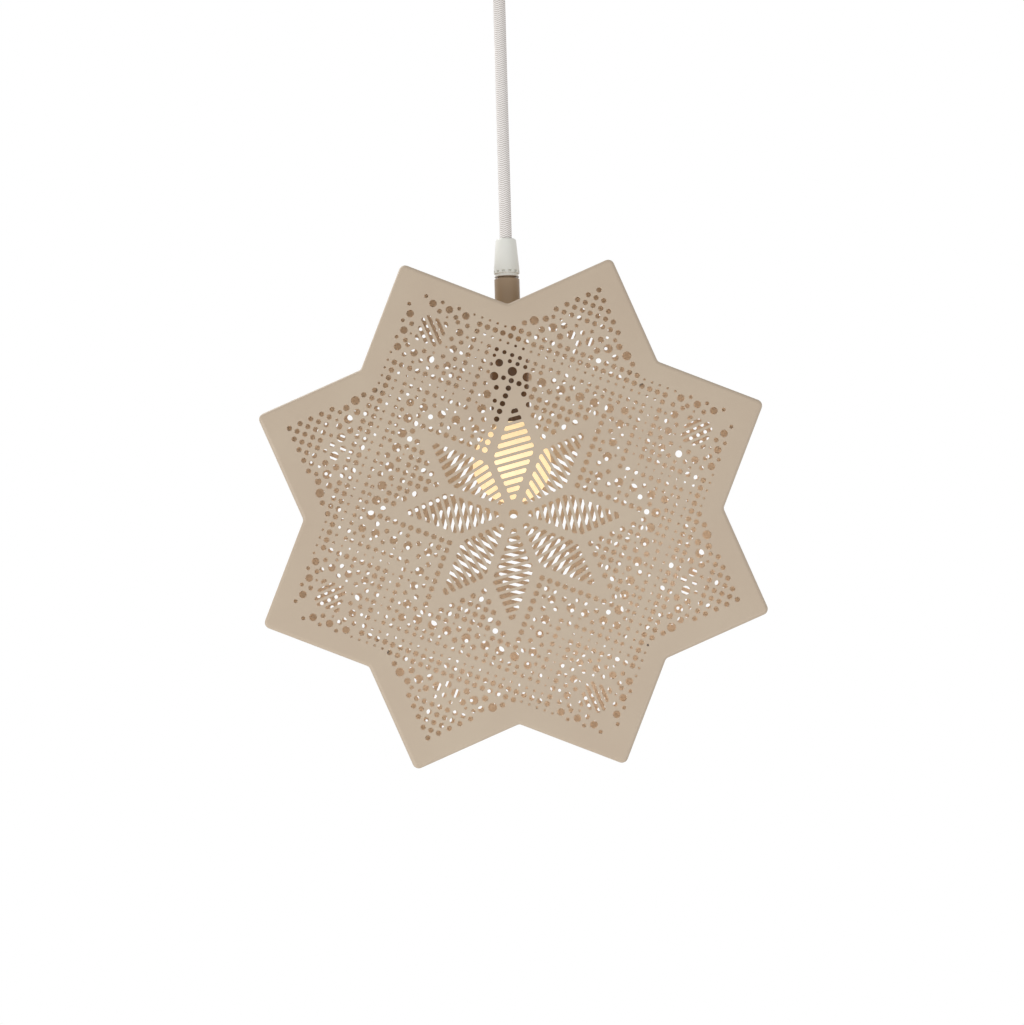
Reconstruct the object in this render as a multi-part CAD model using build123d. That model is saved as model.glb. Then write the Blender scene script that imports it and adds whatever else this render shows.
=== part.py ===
from build123d import *
from math import cos, pi, radians, sin, sqrt
import os

# A flat eight-pointed star lantern of perforated sheet steel, hung by a textile flex from a
# ceiling cup. Millimetres, +Z up. The front of the star faces -Y, and the origin lies on the
# ceiling, above the middle of the star.

# ---------------------------------------------------------------- driving dimensions
# Star case: its outline is two equal squares, one turned by 45 degrees against the other.
grid_pitch = 4.57         # pitch of the square grid on which the holes are punched
grid_cells = 21           # grid rows from the middle of the star to the last one at each side
border = 11.5             # plain edge from the last grid row to the fold
tip_radius = 3.5          # plan radius at the eight tips
tip_chords = 3            # each tip is rounded in this many chords
notch_radius = 3.0        # plan radius in the eight notches
notch_chords = 2
sheet = 0.8               # thickness of the sheet steel
case_depth = 66.0         # front face to back face
fold_depth = 9.0          # how far the folded edge of the front and back sheets reaches
fold_bevel = 0.8          # outer edge of that fold
lid_gap = 0.1             # gap between the folded edge and the rim band

# Punched rosette: eight petals of slanting slots, a bar's width from each other.
petal_bar = 4.0           # bar left between neighbouring petals
petal_reach = 21.4        # far side of a petal from the axis that it stands on
petal_length = 25.8       # far side of a petal from the diagonal that it stands on
slot_slant = 36.5         # degrees of the petal slots from the long way across
slot_pitch = 4.15
slot_width = 2.3
petal_slots = 12
first_slot = 9.1          # first slot's distance from the middle of the star
eye_diameter = 4.9        # round hole in the middle of the rosette

# Punched tips: a square of slots with a ring of round holes about it, in every other tip.
tip_square = 15.2
tip_square_place = 78.4   # middle of that square, across and up from the middle of the star
tip_slot_pitch = 3.54
tip_slot_width = 1.8
tip_slots = 6
ring_pitch = 9.75         # pitch of the round holes about the square
ring_holes = 4            # holes along each side of that ring
ring_hole = 4.0
dot = 4.8                 # large round holes of the chains
tip_chain_pitch = 10.9    # chain across each dotted tip
tip_chain_holes = 6
tip_chain_level = 104.0   # its distance from the middle of the star
ring_chain_places = (0, 11.3, 19.9, 28.7)   # chain in front of each dotted tip, out to each side
ring_chain_level = 73.4
ring_corner = 36.5        # the hole between two petals, across and up

# Fine holes between those forms: a plain grid of larger openings stands in for them here.
mesh_hole = 6.8
mesh_tip_row = 123.4      # distance of its rows from the middle of the star
mesh_row = 93.7
mesh_inner_row = 61.7
mesh_step = 22.85         # pitch along its rows

# Cover screws, M3 with pan heads, in lugs of the rim band.
cover_screw = 3.0
cover_screw_length = 6.0
cover_screw_head = 5.6
cover_screw_head_height = 2.0
cover_hole = 3.4
screw_sides = 12          # screws are drawn with this many sides
thread_gap = 0.05         # radial gap of a screw in its tapped hole
lug_width = 16.0
lug_depth = 14.0
lug_sheet = 1.5
lug_hole_inset = 8.0      # screw axis from the notch

# Flex, nipple and cord grips. The same grip serves at the ceiling and at the lamp.
flex_diameter = 6.9
flex_drop = 141.0         # free flex between the two grips
flex_gap = 0.3            # radial gap between the flex and what it passes through
nipple_diameter = 10.0    # M10 x 1 thread
nipple_bore = 7.6
nipple_gap = 0.1
grip_length = 20.0
grip_base = 14.6
grip_nose = 11.9
grip_shoulder = 1.2
grip_thread_depth = 9.0
grip_foot = 2.1           # straight foot of the grip
nipple_in_grip = 8.5
collar_diameter = 13.2
collar_height = 1.7

# Drop tube and lampholder, size E14.
tube_diameter = 14.4
tube_length = 38.9
tube_rise = 19.9          # how far the tube stands out of the top notch
tube_chamfer = 0.6
weld_gap = 0.1
holder_diameter = 22.0
holder_wall = 1.6
holder_cap_height = 16.0
holder_cap_roof = 2.5
holder_cap_chamfer = 3.0
holder_length = 44.2
skirt_sleeve = 5.3        # how far the skirt screws up into the cap
skirt_sleeve_wall = 1.0
insert_thickness = 4.0
insert_seat = 1.5         # ledge in the cap on which the insert stops
fit_gap = 0.1
socket_bore = 14.4        # inside of the brass screw shell
socket_wall = 0.4
socket_length = 24.0
tongue_width = 4.0
tongue_thickness = 0.5
tongue_length = 11.0

# Bulb: a 45 mm golf ball with an E14 cap.
globe_diameter = 45.0
globe_low = 7.2           # underside of the globe above the middle of the star
neck_diameter = 17.0
neck_top = 61.5           # end of the neck above the middle of the star
globe_shoulder = 55.0     # degrees above the middle of the ball where it turns into the neck
globe_bands = 7
bulb_cap_diameter = 13.9
bulb_cap_length = 19.0
bulb_insulator_height = 3.4
bulb_insulator_top = 7.0
bulb_tip_diameter = 4.6
bulb_tip_height = 1.5
bulb_bevel = 1.0          # upper edge of the bulb's cap

# Ceiling cup and what it holds.
cup_radius = 42.0
cup_height = 38.0
cup_wall = 1.0
cup_chamfer = 3.0
bracket_gap = 0.4         # from the bracket's corners to the cup's wall
bracket_width = 22.0
bracket_sheet = 1.5
bracket_ear = 14.0
bracket_slot_spacing = 54.0
bracket_slot_length = 10.0
bracket_slot_width = 4.4
cup_screw = 4.0           # M4, through the cup's wall into the bracket's ears
cup_screw_length = 6.0
cup_screw_head = 7.6
cup_screw_head_height = 2.6
cup_screw_drop = 9.0      # screw axis below the ceiling
cup_hole_gap = 0.2
nut_across_flats = 14.0
nut_height = 3.0
nipple_past_nut = 1.5
block_length = 29.0
block_width = 12.0
block_height = 15.0
block_bore = 3.2
block_bore_depth = 9.0
block_pole_pitch = 8.5
block_screw = 3.0
block_screw_drop = 6.0    # terminal screws above the underside of the block
core_diameter = 1.9       # insulated wire cores of the flex
core_ring = 1.3           # distance of the cores from the middle of the flex
core_bend = 4.0
peg_diameter = 3.0        # pegs of the terminal block, in the bracket
peg_place = 11.5
flex_past_nipple = 2.0    # sheath that shows inside the cup

# ---------------------------------------------------------------- levels, from the ceiling down
star_half = grid_cells * grid_pitch + border
notch_out = star_half / cos(radians(22.5))
front_y = -case_depth / 2
back_y = case_depth / 2
flex_radius = flex_diameter / 2

cup_bottom = -cup_height
top_grip_base = cup_bottom - collar_height
pivot_z = top_grip_base - grip_length
lamp_grip_top = pivot_z - flex_drop
lamp_grip_base = lamp_grip_top - grip_length
tube_top = lamp_grip_base - collar_height
tube_bottom = tube_top - tube_length
star_z = tube_top - tube_rise - notch_out
holder_top = tube_bottom
holder_bottom = holder_top - holder_length
cap_bottom = holder_top - holder_cap_height
cap_inside_top = holder_top - holder_cap_roof
insert_bottom = cap_bottom + skirt_sleeve
insert_top = insert_bottom + insert_thickness
flex_end = cap_inside_top
globe_bottom = star_z + globe_low
neck_end = star_z + neck_top
bulb_cap_top = neck_end + bulb_cap_length
bulb_tip_base = bulb_cap_top + bulb_insulator_height
bulb_tip_top = bulb_tip_base + bulb_tip_height
grip_bore = flex_diameter + 2 * flex_gap
holder_inner = holder_diameter - 2 * holder_wall
cup_nipple_top = cup_bottom + cup_wall + nut_height + nipple_past_nut
flex_top = cup_nipple_top + flex_past_nipple
block_low = -bracket_sheet - block_height
bracket_half = sqrt((cup_radius - cup_wall - bracket_gap) ** 2 - (bracket_width / 2) ** 2)


# ---------------------------------------------------------------- helpers
def ring(outer, inner, low, high):
    """A tube on the Z axis, by its two diameters."""
    body = Cylinder(outer / 2, high - low, align=(Align.CENTER, Align.CENTER, Align.MIN))
    if inner > 0:
        body -= Cylinder(inner / 2, high - low, align=(Align.CENTER, Align.CENTER, Align.MIN))
    return Pos(0, 0, low) * body


def turned(points):
    """A piece turned on the Z axis from its half section, points of (radius, height)."""
    return revolve(Plane.XZ * make_face(Polyline(*points, close=True)), Axis.Z)


def on_star(y, facing=-1):
    """The star's own plane at depth y, facing the front (-1) or the back (1), with y upwards."""
    return Plane((0, y, star_z), x_dir=(-facing, 0, 0), z_dir=(0, facing, 0))


def group(solids):
    """Separate solids in one node."""
    return Compound(children=list(solids))


# ---------------------------------------------------------------- the star's outline
def arc_points(middle, radius, facing, turn, chords):
    """Points along an arc that faces one way, its middle that far out on the same ray."""
    hub = Rot(0, 0, facing) * Pos(middle, 0)
    swing = [turn * (step / chords - 0.5) for step in range(chords + 1)]
    return [(hub * Rot(0, 0, angle) * Pos(radius, 0)).position for angle in swing]


def star_outline(inset):
    """The eight-pointed outline, moved inwards by inset, with its tips and notches rounded."""
    tip_middle = (star_half - tip_radius) * sqrt(2)
    notch_middle = (star_half + notch_radius) / cos(radians(22.5))
    points = []
    for turn in range(8):
        notch = arc_points(notch_middle, -notch_radius - inset, 45 * turn, -45, notch_chords)
        tip = arc_points(tip_middle, tip_radius - inset, 45 * turn + 22.5, 90, tip_chords)
        points += notch + tip
    return make_face(Polyline(*points, close=True))


# ---------------------------------------------------------------- the punched pattern
# It is laid out for one quarter of the star about a dotted tip that points up, and it is the
# same on both sides of that tip.
def slats(area, slant, pitch, width, first, count):
    """Parallel slots of one slant that fill an area."""
    reach = 4 * star_half
    rows = [first + pitch * row for row in range(count)]
    strips = Sketch() + [Rot(0, 0, slant) * Pos(0, row) * Rectangle(reach, width) for row in rows]
    return strips & area


def petal():
    """One petal of the rosette: a slanted frame filled with slots."""
    bar = petal_bar / 2
    low = bar * sqrt(2)
    high = petal_length * sqrt(2)
    corners = [(bar, bar + low), (petal_reach, petal_reach + low)]
    corners += [(petal_reach, petal_reach + high), (bar, bar + high)]
    frame = make_face(Polyline(*corners, close=True))
    return slats(frame, -slot_slant, slot_pitch, slot_width, first_slot, petal_slots)


def punched_dot(x, y, diameter):
    """A round hole, drawn as a square of the same area."""
    side = diameter * sqrt(pi) / 2
    return Pos(x, y) * Rectangle(side, side)


def square_tip():
    """Slots in a square, with a ring of round holes, in the tip to the right of the dotted one."""
    frame = Pos(tip_square_place, tip_square_place) * Rectangle(tip_square, tip_square)
    first = -tip_slot_pitch * (tip_slots - 1) / 2
    slots = slats(frame, 45, tip_slot_pitch, tip_slot_width, first, tip_slots)
    start = tip_square_place - ring_pitch * (ring_holes - 1) / 2
    places = [start + ring_pitch * step for step in range(ring_holes)]
    edge = [(x, y) for x in places for y in places if min(x, y) == places[0] or max(x, y) == places[-1]]
    edge.remove((places[-1], places[-1]))
    return slots + [punched_dot(x, y, ring_hole) for x, y in edge]


def chains():
    """The large round holes of one quarter: a row in the dotted tip and a chain before it."""
    first = -tip_chain_pitch * (tip_chain_holes - 1) / 2
    spots = [(first + tip_chain_pitch * step, tip_chain_level) for step in range(tip_chain_holes)]
    spots += [(place, ring_chain_level) for place in ring_chain_places]
    spots += [(-place, ring_chain_level) for place in ring_chain_places[1:]]
    spots += [(ring_corner, ring_corner)]
    return [punched_dot(x, y, dot) for x, y in spots]


def fine_mesh():
    """The plain grid of one quarter: three openings in the tip, then a row of five and one of three."""
    half = mesh_step / 2
    spots = [(0, mesh_tip_row), (-half, mesh_tip_row - half), (half, mesh_tip_row - half)]
    spots += [(mesh_step * step, mesh_row) for step in range(-2, 3)]
    spots += [(mesh_step * step, mesh_inner_row) for step in range(-1, 2)]
    return [punched_dot(x, y, mesh_hole) for x, y in spots]


def punched_pattern(dots):
    """The openings of one sheet, seen from its own front: the rosette, then all the others."""
    leaf = petal()
    quarter = leaf + mirror(leaf, Plane.YZ)
    quarter += fine_mesh()
    if dots:
        quarter += square_tip()
        quarter += chains()
    whole = Sketch() + [spin * quarter for spin in PolarLocations(0, 4)]
    return Rot(0, 0, -22.5) * (whole + Circle(eye_diameter / 2))


# ---------------------------------------------------------------- the star case
def pressed_sheet(dots):
    """A perforated face with its edge folded back all round, its face at local zero."""
    shell = extrude(star_outline(0), -fold_depth)
    edge = shell.faces().sort_by(Axis.Z)[-1].outer_wire().edges()
    shell = chamfer(edge, fold_bevel)
    shell -= Pos(0, 0, -sheet) * extrude(star_outline(sheet), -fold_depth)
    return shell - extrude(punched_pattern(dots), sheet, both=True)


def cover_screw_places():
    """The four diagonal notches, where the back cover is screwed down."""
    return [Rot(0, 0, 45 + 90 * turn) * Pos(notch_out - lug_hole_inset, 0) for turn in range(4)]


def rim_band():
    """The sixteen side walls in one folded band, with four lugs behind the back cover."""
    outside = sheet + lid_gap
    length = case_depth - 2 * sheet
    band = extrude(star_outline(outside), -length) - extrude(star_outline(outside + sheet), -length)
    corner = Pos(notch_out - lug_depth / 2, 0) * Rectangle(lug_depth, lug_width)
    lugs = Sketch() + [Rot(0, 0, 45 + 90 * turn) * corner for turn in range(4)]
    lugs = lugs & star_outline(outside + sheet / 2)
    lugs -= [place * Circle(cover_screw / 2 + thread_gap) for place in cover_screw_places()]
    band += Pos(0, 0, -length) * extrude(lugs, lug_sheet)
    band = on_star(front_y + sheet) * band
    low, high = star_z + notch_out - lug_depth, star_z + notch_out + lug_depth
    return band - ring(tube_diameter + 2 * weld_gap, 0, low, high)


def back_cover():
    """The same pressing turned round, with a clearance hole for each screw."""
    holes = [place * Circle(cover_hole / 2) for place in cover_screw_places()]
    cover = pressed_sheet(False) - extrude(Sketch() + holes, sheet, both=True)
    return on_star(back_y, 1) * cover


def pan_screw(shank, length, head, head_height):
    """A pan head screw: its shank along -Z, its head above local zero."""
    top = extrude(RegularPolygon(head / 2, screw_sides), head_height)
    top = chamfer(top.faces().sort_by(Axis.Z)[-1].edges(), head_height / 2)
    return top + extrude(RegularPolygon(shank / 2, screw_sides), -length)


def cover_screws():
    """Four screws of the back cover, their heads on its outside."""
    screw = pan_screw(cover_screw, cover_screw_length, cover_screw_head, cover_screw_head_height)
    return group([on_star(back_y, 1) * (place * screw) for place in cover_screw_places()])


# ---------------------------------------------------------------- flex, nipples and grips
def cord_grip():
    """A tapered grip: its base at local zero, its nose upwards."""
    thread = nipple_diameter / 2 + nipple_gap
    nose = grip_length - grip_shoulder
    return turned([(thread, 0), (grip_base / 2, 0), (grip_base / 2, grip_foot),
                   (grip_nose / 2, nose), (grip_nose / 2 - grip_shoulder, grip_length),
                   (grip_bore / 2, grip_length), (grip_bore / 2, grip_thread_depth),
                   (thread, grip_thread_depth)])


def flex():
    """The free flex: a round end that turns in the ceiling grip, then straight to the lamp."""
    run = ring(flex_diameter, 0, flex_end, pivot_z)
    end = Pos(0, 0, pivot_z) * Sphere(flex_radius)
    cord = run + end
    length = pivot_z - flex_end
    want = pi * flex_radius ** 2 * length + 2 / 3 * pi * flex_radius ** 3
    print("flex: straight run", round(length, 1), "mm, no bends; volume", round(cord.volume),
          "mm3, section times length with its round end", round(want), "mm3")
    return cord


def core(side, start, end, spread):
    """One insulated core, straight or with a gentle bend out to its terminal, of six sides."""
    low, high = min(start, end), max(start, end)
    straight = core_diameter * 1.5
    path = Line((core_ring, 0, low), (core_ring, 0, high))
    if spread > core_ring:
        path = FilletPolyline((core_ring, 0, low), (core_ring, 0, low + straight),
                              (spread, 0, block_low - straight), (spread, 0, high), radius=core_bend)
    wire = sweep(Plane((core_ring, 0, low)) * RegularPolygon(core_diameter / 2, 6), path)
    return wire if side > 0 else mirror(wire, Plane.YZ)


# ---------------------------------------------------------------- lampholder and bulb
def holder_cap():
    """The upper half of the lampholder, screwed onto the nipple."""
    outer, inner = holder_diameter / 2, holder_inner / 2
    bore = nipple_diameter / 2 + thread_gap
    return turned([(bore, holder_top), (outer - holder_cap_chamfer, holder_top),
                   (outer, holder_top - holder_cap_chamfer), (outer, cap_bottom),
                   (inner, cap_bottom), (inner, insert_top), (inner - insert_seat, insert_top),
                   (inner - insert_seat, cap_inside_top), (bore, cap_inside_top)])


def holder_skirt():
    """The lower half: a plain skirt with a sleeve that screws up into the cap."""
    outer, inner = holder_diameter / 2, holder_inner / 2
    sleeve = inner - fit_gap
    ledge = cap_bottom - holder_wall
    return turned([(outer, holder_bottom), (outer, cap_bottom), (sleeve, cap_bottom),
                   (sleeve, insert_bottom), (sleeve - skirt_sleeve_wall, insert_bottom),
                   (sleeve - skirt_sleeve_wall, ledge), (inner, ledge), (inner, holder_bottom)])


def contact_tongue():
    """The centre contact: a strip fixed under the insert, sprung down onto the bulb's tip."""
    half = tongue_length / 2
    low = bulb_tip_top + fit_gap
    profile = [(-half, insert_bottom), (-half / 2, insert_bottom), (half / 2, low + tongue_thickness),
               (half / 2, low), (-half / 2, insert_bottom - tongue_thickness),
               (-half, insert_bottom - tongue_thickness)]
    face = Plane.XZ * make_face(Polyline(*profile, close=True))
    return extrude(face, tongue_width / 2, both=True)


def bulb_globe():
    """A ball, in bands, that runs into a narrow neck."""
    radius = globe_diameter / 2
    centre = globe_bottom + radius
    turns = [radians(-90 + (90 + globe_shoulder) * band / globe_bands) for band in range(globe_bands + 1)]
    ball = [(radius * cos(turn), centre + radius * sin(turn)) for turn in turns]
    ball[0] = (0, globe_bottom)
    neck = [(neck_diameter / 2, centre + radius), (neck_diameter / 2, neck_end), (0, neck_end)]
    return turned(ball + neck)


# ---------------------------------------------------------------- ceiling fitting
def ceiling_cup():
    """A sheet cup, open at the ceiling, with a bevelled lower edge."""
    slope = cup_wall * (sqrt(2) - 1)
    inside = cup_radius - cup_wall
    floor = cup_bottom + cup_wall
    bore = nipple_diameter / 2 + nipple_gap
    cup = turned([(cup_radius, 0), (cup_radius, cup_bottom + cup_chamfer),
                  (cup_radius - cup_chamfer, cup_bottom), (bore, cup_bottom), (bore, floor),
                  (cup_radius - cup_chamfer - slope, floor), (inside, cup_bottom + cup_chamfer + slope),
                  (inside, 0)])
    hole = Pos(0, 0, -cup_screw_drop) * Rot(0, 90, 0) * Cylinder(cup_screw / 2 + cup_hole_gap, 3 * cup_radius)
    return cup - hole


def ceiling_bracket():
    """A strap with slots for the ceiling screws and an ear folded down at each end."""
    strap = Box(2 * bracket_half, bracket_width, bracket_sheet, align=(Align.CENTER, Align.CENTER, Align.MAX))
    ear = Box(bracket_sheet, bracket_width, bracket_ear, align=(Align.MAX, Align.CENTER, Align.MAX))
    strap += [Pos(bracket_half, 0) * ear, Rot(0, 0, 180) * Pos(bracket_half, 0) * ear]
    slots = [Pos(side * bracket_slot_spacing / 2, 0) * SlotOverall(bracket_slot_length, bracket_slot_width)
             for side in (-1, 1)]
    pegs = [Pos(side * peg_place, 0) * Circle(peg_diameter / 2 + fit_gap) for side in (-1, 1)]
    window = Rectangle(block_pole_pitch + 2 * block_bore, 2 * block_bore)
    strap -= extrude(Sketch() + slots + pegs + window, -bracket_sheet)
    tapped = Rot(0, 90, 0) * Cylinder(cup_screw / 2 + thread_gap, 3 * cup_radius)
    return strap - Pos(0, 0, -cup_screw_drop) * tapped


def terminal_block():
    """A two-pole block, pegged to the bracket, with wells for its terminal screws."""
    block = Pos(0, 0, block_low) * Box(block_length, block_width, block_height,
                                       align=(Align.CENTER, Align.CENTER, Align.MIN))
    poles = [side * block_pole_pitch / 2 for side in (-1, 1)]
    block -= [Pos(x, 0) * ring(block_bore, 0, block_low, block_low + block_bore_depth) for x in poles]
    well = extrude(RegularPolygon(block_screw / 2 + fit_gap, 6), block_width / 4)
    block -= [place * well for place in terminal_places()]
    pegs = [Pos(side * peg_place, 0) * ring(peg_diameter, 0, -bracket_sheet, 0) for side in (-1, 1)]
    return block + pegs


def terminal_places():
    """Where the terminal screws go in, on the front of the block."""
    front = Plane((0, -block_width / 2, 0), x_dir=(1, 0, 0), z_dir=(0, 1, 0))
    levels = (-block_low - block_screw_drop, -block_low - block_height + block_screw_drop / 2)
    return [front * Pos(side * block_pole_pitch / 2, level) for side in (-1, 1) for level in levels]


def terminal_screws():
    screw = extrude(RegularPolygon(block_screw / 2, 6), block_width / 4)
    return group([place * screw for place in terminal_places()])


def cup_nut():
    """The lock nut inside the cup."""
    plan = RegularPolygon(nut_across_flats / 2, 6, major_radius=False)
    plan -= Circle(nipple_diameter / 2 + thread_gap)
    return Pos(0, 0, cup_bottom + cup_wall) * extrude(plan, nut_height)


def cup_screws():
    """Two screws through the cup's wall into the bracket's ears."""
    screw = pan_screw(cup_screw, cup_screw_length, cup_screw_head, cup_screw_head_height)
    right = Pos(cup_radius, 0, -cup_screw_drop) * Rot(0, 90, 0) * screw
    return group([right, Rot(0, 0, 180) * right])


# ---------------------------------------------------------------- every node
def build():
    nipple_hole = nipple_diameter + 2 * nipple_gap
    cap_edge = bulb_cap_diameter / 2
    tip_edge = tube_diameter / 2
    parts = {
        "ceiling_bracket": ceiling_bracket(),
        "ceiling_cup": ceiling_cup(),
        "cup_screws": cup_screws(),
        "cup_nut": cup_nut(),
        "cup_nipple": ring(nipple_diameter, nipple_bore, top_grip_base - nipple_in_grip, cup_nipple_top),
        "cup_collar": ring(collar_diameter, nipple_hole, top_grip_base, cup_bottom),
        "ceiling_cord_grip": Pos(0, 0, top_grip_base) * Rot(180, 0, 0) * cord_grip(),
        "terminal_block": terminal_block(),
        "terminal_screws": terminal_screws(),
        "flex_in_cup": ring(flex_diameter, 0, pivot_z + flex_radius + flex_gap, flex_top),
        "cup_live_core": core(1, flex_top, block_low + block_bore_depth, block_pole_pitch / 2),
        "cup_neutral_core": core(-1, flex_top, block_low + block_bore_depth, block_pole_pitch / 2),
        "flex": flex(),
        "lamp_cord_grip": Pos(0, 0, lamp_grip_base) * cord_grip(),
        "lamp_collar": ring(collar_diameter, nipple_hole, tube_top, lamp_grip_base),
        "lamp_nipple": ring(nipple_diameter, nipple_bore, cap_inside_top, lamp_grip_base + nipple_in_grip),
        "drop_tube": turned([(nipple_hole / 2, tube_bottom), (tip_edge, tube_bottom),
                             (tip_edge, tube_top - tube_chamfer), (tip_edge - tube_chamfer, tube_top),
                             (nipple_hole / 2, tube_top)]),
        "front_sheet": on_star(front_y) * pressed_sheet(True),
        "rim_band": rim_band(),
        "back_cover": back_cover(),
        "cover_screws": cover_screws(),
        "holder_cap": holder_cap(),
        "holder_skirt": holder_skirt(),
        "holder_insert": ring(holder_inner - 2 * fit_gap, 0, insert_bottom, insert_top),
        "holder_screw_shell": ring(socket_bore + 2 * socket_wall, socket_bore,
                                   insert_bottom - socket_length, insert_bottom),
        "holder_contact": contact_tongue(),
        "lamp_live_core": core(1, flex_end, insert_top, core_ring),
        "lamp_neutral_core": core(-1, flex_end, insert_top, core_ring),
        "bulb_globe": bulb_globe(),
        "bulb_cap": turned([(0, neck_end), (cap_edge, neck_end), (cap_edge, bulb_cap_top - bulb_bevel),
                            (cap_edge - bulb_bevel, bulb_cap_top), (0, bulb_cap_top)]),
        "bulb_insulator": turned([(0, bulb_cap_top), (cap_edge - bulb_bevel, bulb_cap_top),
                                  (bulb_insulator_top / 2, bulb_tip_base), (0, bulb_tip_base)]),
        "bulb_tip": ring(bulb_tip_diameter, 0, bulb_tip_base, bulb_tip_top),
    }
    os.makedirs("parts", exist_ok=True)
    for name, shape in parts.items():
        export_step(shape, f"parts/{name}.step")
    print(len(parts), "nodes; star centre at z", round(star_z, 2), "flex pivot at z", round(pivot_z, 2))


build()
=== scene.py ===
# %% [markdown]
# # A flat star lantern of punched sheet steel
# The real thing is a pendant lamp: a shallow eight-pointed case, pressed and punched from thin
# steel and powder coated in taupe, with one small opal bulb inside. It hangs on a textile flex.
# The engineering model brings every piece at its real size. This file dresses them: it swaps
# the pieces whose form is too plain, gives each one its material and lights the set.

# %% Load the frame
from math import cos, pi, radians, sin, sqrt

import bmesh
import bpy
from mathutils import Euler, Matrix, Vector


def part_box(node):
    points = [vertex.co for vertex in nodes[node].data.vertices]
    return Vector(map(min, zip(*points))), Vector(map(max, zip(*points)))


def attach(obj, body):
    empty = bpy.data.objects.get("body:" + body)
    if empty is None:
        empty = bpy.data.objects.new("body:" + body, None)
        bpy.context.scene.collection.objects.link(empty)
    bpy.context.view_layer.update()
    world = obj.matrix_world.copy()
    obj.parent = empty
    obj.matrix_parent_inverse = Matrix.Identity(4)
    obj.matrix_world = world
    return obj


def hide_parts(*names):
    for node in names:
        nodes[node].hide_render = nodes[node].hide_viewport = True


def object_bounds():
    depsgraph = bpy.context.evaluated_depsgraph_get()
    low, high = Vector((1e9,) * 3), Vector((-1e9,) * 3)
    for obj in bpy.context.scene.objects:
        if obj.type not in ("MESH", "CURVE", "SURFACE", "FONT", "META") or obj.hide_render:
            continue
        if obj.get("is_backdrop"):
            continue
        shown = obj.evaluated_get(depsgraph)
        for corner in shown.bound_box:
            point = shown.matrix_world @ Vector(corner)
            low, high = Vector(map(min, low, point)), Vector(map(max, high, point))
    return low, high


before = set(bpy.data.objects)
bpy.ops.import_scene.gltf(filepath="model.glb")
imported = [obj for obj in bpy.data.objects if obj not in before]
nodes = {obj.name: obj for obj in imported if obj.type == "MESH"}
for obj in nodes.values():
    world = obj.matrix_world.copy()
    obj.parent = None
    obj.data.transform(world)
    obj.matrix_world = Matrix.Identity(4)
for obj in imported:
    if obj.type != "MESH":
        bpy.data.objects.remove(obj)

cad_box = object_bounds()
mm = 0.001
print(len(nodes), "nodes, from", [round(v, 4) for v in cad_box[0]], "to", [round(v, 4) for v in cad_box[1]])

# %% [markdown]
# ## Where things are
# The frame already knows where each piece stands. Reading the places from its boxes, and not
# typing them again, keeps this file right when the model moves.

# %% Places read from the frame
front_low, front_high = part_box("front_sheet")
back_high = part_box("back_cover")[1]
front_y = front_low.y
back_y = back_high.y
star_z = (front_low.z + front_high.z) / 2
fold_depth = front_high.y - front_low.y
flex_low, flex_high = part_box("flex")
flex_diameter = flex_high.x - flex_low.x
print("star centre at z", round(star_z, 4), "case depth", round(back_y - front_y, 4))

# %% [markdown]
# ## The camera
# The photograph was taken level, from about a metre away and a little below the middle of the
# star: through the holes, the back sheet stands a little low and 6 percent small. The
# star hangs a little askew there. The model hangs plumb, so the camera rolls instead. The lens
# shifts, as the crop of the photograph does, and so the star stays square to the picture.

# %% Camera
picture_height = 1025
metres_per_pixel = 0.5527 * mm
camera_distance = 1.03
camera_drop = 34 * mm
camera_roll = radians(1.6)
star_in_picture = Vector((0.8 * mm, -0.8 * mm))    # its middle, right and up from the picture's

picture_width = picture_height * metres_per_pixel
camera_data = bpy.data.cameras.new("camera")
camera_data.sensor_width = 36
camera_data.lens = camera_data.sensor_width * camera_distance / picture_width
camera = bpy.data.objects.new("camera", camera_data)
camera.location = (0, front_y - camera_distance, star_z - camera_drop)
aim = Matrix.Rotation(radians(90), 4, "X") @ Matrix.Rotation(-camera_roll, 4, "Z")
camera.rotation_euler = aim.to_euler()
star_from_axis = aim.to_3x3().inverted() @ Vector((0, camera_distance, camera_drop))
camera_data.shift_x = (star_from_axis.x - star_in_picture.x) / picture_width
camera_data.shift_y = (star_from_axis.y - star_in_picture.y) / picture_width
bpy.context.scene.collection.objects.link(camera)
bpy.context.scene.camera = camera
print("lens", round(camera_data.lens, 1), "mm, shifted up by", round(camera_data.shift_y, 3))

# %% [markdown]
# ## Helpers for nodes and colours
# Shader trees and geometry trees are built the same way: a node, its settings, and for each
# input either a value or the socket that feeds it. One function does that for all of them.
# Colours are written as a painter would read them off a screen and turned to linear light.

# %% Node and colour helpers
def add(tree, kind, settings=None, inputs=None):
    made = tree.nodes.new(kind)
    for name, value in (settings or {}).items():
        setattr(made, name, value)
    for name, value in (inputs or {}).items():
        if isinstance(value, bpy.types.NodeSocket):
            tree.links.new(value, made.inputs[name])
        else:
            made.inputs[name].default_value = value
    return made


def linear(hex_colour):
    channels = [int(hex_colour[i:i + 2], 16) / 255 for i in (1, 3, 5)]
    return [c / 12.92 if c <= 0.04045 else ((c + 0.055) / 1.055) ** 2.4 for c in channels] + [1.0]


def new_material(name, colour, roughness, metallic=0.0, coat=0.0):
    """A material with its plain values set on the shader, its tree and that shader."""
    material = bpy.data.materials.new(name)
    material.use_nodes = True
    tree = material.node_tree
    shader = tree.nodes["Principled BSDF"]
    shader.inputs["Base Color"].default_value = linear(colour)
    shader.inputs["Roughness"].default_value = roughness
    shader.inputs["Metallic"].default_value = metallic
    shader.inputs["Coat Weight"].default_value = coat
    return material, tree, shader


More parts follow.
